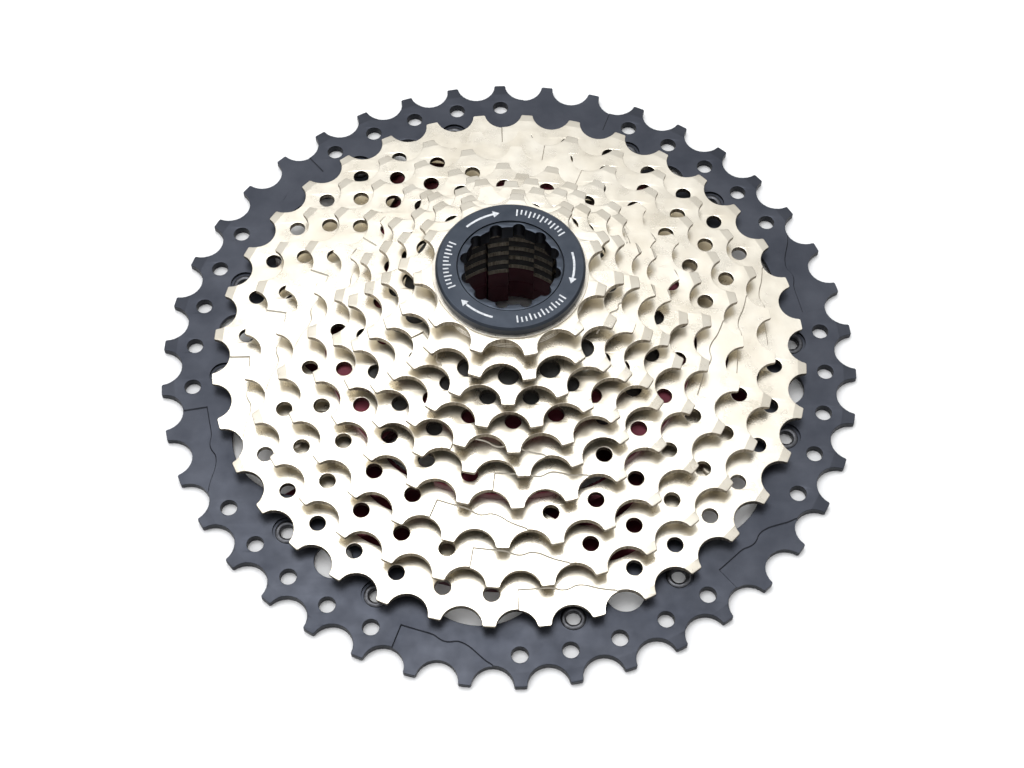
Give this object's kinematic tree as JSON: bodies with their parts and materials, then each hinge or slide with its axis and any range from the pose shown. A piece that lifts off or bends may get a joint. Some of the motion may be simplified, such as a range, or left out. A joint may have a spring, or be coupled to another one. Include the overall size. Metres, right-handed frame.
{
  "type": "cassette sprocket",
  "caption": "Bicycle cassette: a cone of toothed sprockets on splined carriers, with spacers and a notched lockring on top.",
  "frame": {"origin": "on the axle line, in the plane of the largest sprocket's back face, where the cassette rests", "axes": "+Z along the axle towards the lockring; +X through the middle of the bore's narrow spline slot"},
  "size_m": [0.1706, 0.1706, 0.0443],
  "materials": {
    "nickel_plate": "nickel-plated steel, satin to bright",
    "black_anodised": "black anodised, satin",
    "lockring_anodised": "slate-black anodised, satin",
    "maroon_anodised": "turned and maroon anodised",
    "black_nylon": "moulded glass-filled nylon",
    "bright_steel": "bright stamped steel",
    "rivet_steel": "cold-headed steel",
    "eyelet_steel": "blackened steel, rolled lips"
  },
  "bodies": {
    "cassette": {"sprocket_42t": "black_anodised", "sprocket_36t": "nickel_plate", "sprocket_32t": "nickel_plate", "sprocket_28t": "nickel_plate", "sprocket_24t": "nickel_plate", "sprocket_21t": "nickel_plate", "sprocket_19t": "nickel_plate", "sprocket_17t": "nickel_plate", "sprocket_15t": "nickel_plate", "sprocket_13t": "nickel_plate", "sprocket_11t": "nickel_plate", "spacer_21_24": "black_nylon", "spacer_19_21": "black_nylon", "support_ring_19t": "maroon_anodised", "spacer_17_19": "black_nylon", "spacer_15_17": "black_nylon", "spacer_13_15": "black_nylon", "large_carrier": "maroon_anodised", "small_carrier": "maroon_anodised", "rivets_36t": "rivet_steel", "rivets_32t": "rivet_steel", "rivets_28t": "rivet_steel", "eyelets_42t": "eyelet_steel"},
    "washer": {"lockring_washer": "bright_steel"},
    "lockring": {"lockring": "lockring_anodised"}
  },
  "joints": [
    {"name": "lockring_rise", "type": "slide", "parent": "cassette", "child": "washer", "axis": [0, 0, 1], "range_m": [0, 0.004]},
    {"name": "lockring_turn", "type": "hinge", "parent": "washer", "child": "lockring", "pos_m": [0, 0, 0.0419], "axis": [0, 0, 1], "range_deg": [0, 1440]}
  ],
  "couplings": [
    {"joint": "lockring_rise", "follows": "lockring_turn", "m_per_rad": 0.00015915}
  ]
}
